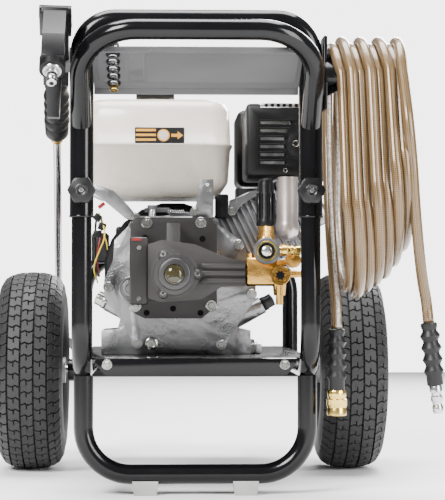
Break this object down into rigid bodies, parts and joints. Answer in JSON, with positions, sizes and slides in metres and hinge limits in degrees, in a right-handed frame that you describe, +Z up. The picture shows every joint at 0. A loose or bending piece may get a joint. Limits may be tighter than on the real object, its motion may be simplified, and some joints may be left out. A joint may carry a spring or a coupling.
{
  "type": "pressure washer",
  "caption": "Petrol pressure washer on a two-wheeled tube cart: flat-plate engine, brass-headed pump, hung hose and a trigger gun with its lance.",
  "frame": {"origin": "centre of the footprint of the machine without its hose, on the floor", "axes": "+Z up, -Y towards the operator and the pump, +X to the operator's right, the hose side"},
  "size_m": [0.674, 0.9804, 0.6999],
  "materials": {
    "frame_paint": "gloss black powder coat",
    "tray_paint": "satin grey paint",
    "rim_steel": "silver grey paint",
    "tyre_rubber": "matt charcoal rubber, block tread",
    "foot_rubber": "light grey moulded rubber",
    "boot_rubber": "black ribbed rubber",
    "black_plastic": "black glass-filled nylon",
    "switch_red": "red moulded",
    "cast_aluminium": "die cast, lightly tumbled",
    "tank_cream": "glossy warm white enamel",
    "muffler_black": "satin black heat-proof paint",
    "pump_grey": "dark grey anodised casting",
    "brass": "forged and turned brass",
    "steel": "bright steel",
    "zinc": "zinc plated",
    "hose_braid": "clear jacket over golden braid"
  },
  "bodies": {
    "cart": {"frame_rail_left": "frame_paint", "frame_rail_right": "frame_paint", "rear_hoop": "frame_paint", "foot_loop": "frame_paint", "axle_tube": "frame_paint", "engine_plate": "frame_paint", "handle_hoop": "frame_paint", "front_grip_hoop": "frame_paint", "lance_holder": "frame_paint", "nozzle_panel": "tray_paint", "hose_hook": "tray_paint", "gun_hook": "tray_paint", "rubber_foot_left": "foot_rubber", "rubber_foot_right": "foot_rubber", "hose_end_left": "boot_rubber", "hose_end_right": "boot_rubber", "spark_plug_cap": "boot_rubber", "fan_housing": "black_plastic", "air_cleaner": "black_plastic", "gun_body": "black_plastic", "crankcase": "cast_aluminium", "crankcase_cover": "cast_aluminium", "cylinder": "cast_aluminium", "valve_cover": "cast_aluminium", "tank_bracket": "cast_aluminium", "carburettor": "cast_aluminium", "fuel_tank": "tank_cream", "muffler": "muffler_black", "muffler_guard": "muffler_black", "pump_gearbox": "pump_grey", "pump_cover": "pump_grey", "pump_manifold": "brass", "unloader_valve": "brass", "exhaust_elbow": "steel", "lance": "steel", "axle": "zinc", "hose_coil": "hose_braid", "hose_tail_left": "hose_braid", "hose_tail_right": "hose_braid"},
    "wheel_left": {"tyre_left": "tyre_rubber", "rim_left": "rim_steel"},
    "wheel_right": {"tyre_right": "tyre_rubber", "rim_right": "rim_steel"},
    "knob_left": {"clamp_knob_left": "black_plastic"},
    "knob_right": {"clamp_knob_right": "black_plastic"},
    "crank": {"crankshaft": "steel", "flywheel": "cast_aluminium"},
    "regulator_knob": {"unloader_knob": "black_plastic"},
    "tank_cap": {"fuel_cap": "black_plastic"},
    "starter_grip": {"starter_handle": "black_plastic"},
    "throttle": {"throttle_lever": "black_plastic"},
    "switch": {"engine_switch": "switch_red"},
    "trigger": {"gun_trigger": "black_plastic"},
    "dipstick_left": {"oil_cap_left": "cast_aluminium"},
    "dipstick_right": {"oil_cap_right": "black_plastic"},
    "tip_1": {"nozzle_1": "steel"},
    "tip_2": {"nozzle_2": "steel"},
    "tip_3": {"nozzle_3": "steel"},
    "tip_4": {"nozzle_4": "steel"},
    "tip_5": {"nozzle_5": "brass"}
  },
  "joints": [
    {"name": "wheel_left_spin", "type": "hinge", "parent": "cart", "child": "wheel_left", "pos_m": [-0.265, 0.134, 0.165], "axis": [1, 0, 0], "continuous": true},
    {"name": "wheel_right_spin", "type": "hinge", "parent": "cart", "child": "wheel_right", "pos_m": [0.265, 0.134, 0.165], "axis": [1, 0, 0], "continuous": true},
    {"name": "knob_left_turn", "type": "hinge", "parent": "cart", "child": "knob_left", "pos_m": [-0.163, -0.356, 0.4386], "axis": [0, 1, 0], "continuous": true},
    {"name": "knob_right_turn", "type": "hinge", "parent": "cart", "child": "knob_right", "pos_m": [0.163, -0.356, 0.4386], "axis": [0, 1, 0], "continuous": true},
    {"name": "crank_spin", "type": "hinge", "parent": "cart", "child": "crank", "pos_m": [-0.031, -0.136, 0.331], "axis": [0, 1, 0], "continuous": true},
    {"name": "regulator_turn", "type": "hinge", "parent": "cart", "child": "regulator_knob", "pos_m": [0.105, -0.246, 0.3933], "axis": [0, 0, 1], "range_deg": [-720, 720]},
    {"name": "tank_cap_turn", "type": "hinge", "parent": "cart", "child": "tank_cap", "pos_m": [-0.06, 0.014, 0.6085], "axis": [0, 0, 1], "range_deg": [0, 90]},
    {"name": "starter_pull", "type": "slide", "parent": "cart", "child": "starter_grip", "axis": [0, 1, 0], "range_m": [0, 0.55], "stiffness_N_per_m": 12, "springref_m": -0.2},
    {"name": "throttle_swing", "type": "hinge", "parent": "cart", "child": "throttle", "pos_m": [0.094, 0.0775, 0.444], "axis": [0, 1, 0], "range_deg": [-25, 25]},
    {"name": "switch_rock", "type": "hinge", "parent": "cart", "child": "switch", "pos_m": [-0.1683, 0.119, 0.37], "axis": [0, 1, 0], "range_deg": [-10, 10]},
    {"name": "trigger_pull", "type": "hinge", "parent": "cart", "child": "trigger", "pos_m": [-0.20159, -0.33795, 0.65613], "axis": [-0.9992, -0.0344, 0.0213], "range_deg": [0, 18], "stiffness_Nm_per_rad": 0.4, "springref_deg": -8.59},
    {"name": "dipstick_left_turn", "type": "hinge", "parent": "cart", "child": "dipstick_left", "pos_m": [-0.134, -0.091, 0.2795], "axis": [-0.8891, 0, 0.4576], "continuous": true},
    {"name": "dipstick_right_turn", "type": "hinge", "parent": "cart", "child": "dipstick_right", "pos_m": [0.108, -0.091, 0.2755], "axis": [0.8738, 0, 0.4863], "continuous": true},
    {"name": "tip_1_lift", "type": "slide", "parent": "cart", "child": "tip_1", "axis": [0, 0.3859, 0.9226], "range_m": [0, 0.03]},
    {"name": "tip_2_lift", "type": "slide", "parent": "cart", "child": "tip_2", "axis": [0, 0.3859, 0.9226], "range_m": [0, 0.03]},
    {"name": "tip_3_lift", "type": "slide", "parent": "cart", "child": "tip_3", "axis": [0, 0.3859, 0.9226], "range_m": [0, 0.03]},
    {"name": "tip_4_lift", "type": "slide", "parent": "cart", "child": "tip_4", "axis": [0, 0.3859, 0.9226], "range_m": [0, 0.03]},
    {"name": "tip_5_lift", "type": "slide", "parent": "cart", "child": "tip_5", "axis": [0, 0.3859, 0.9226], "range_m": [0, 0.03]}
  ]
}
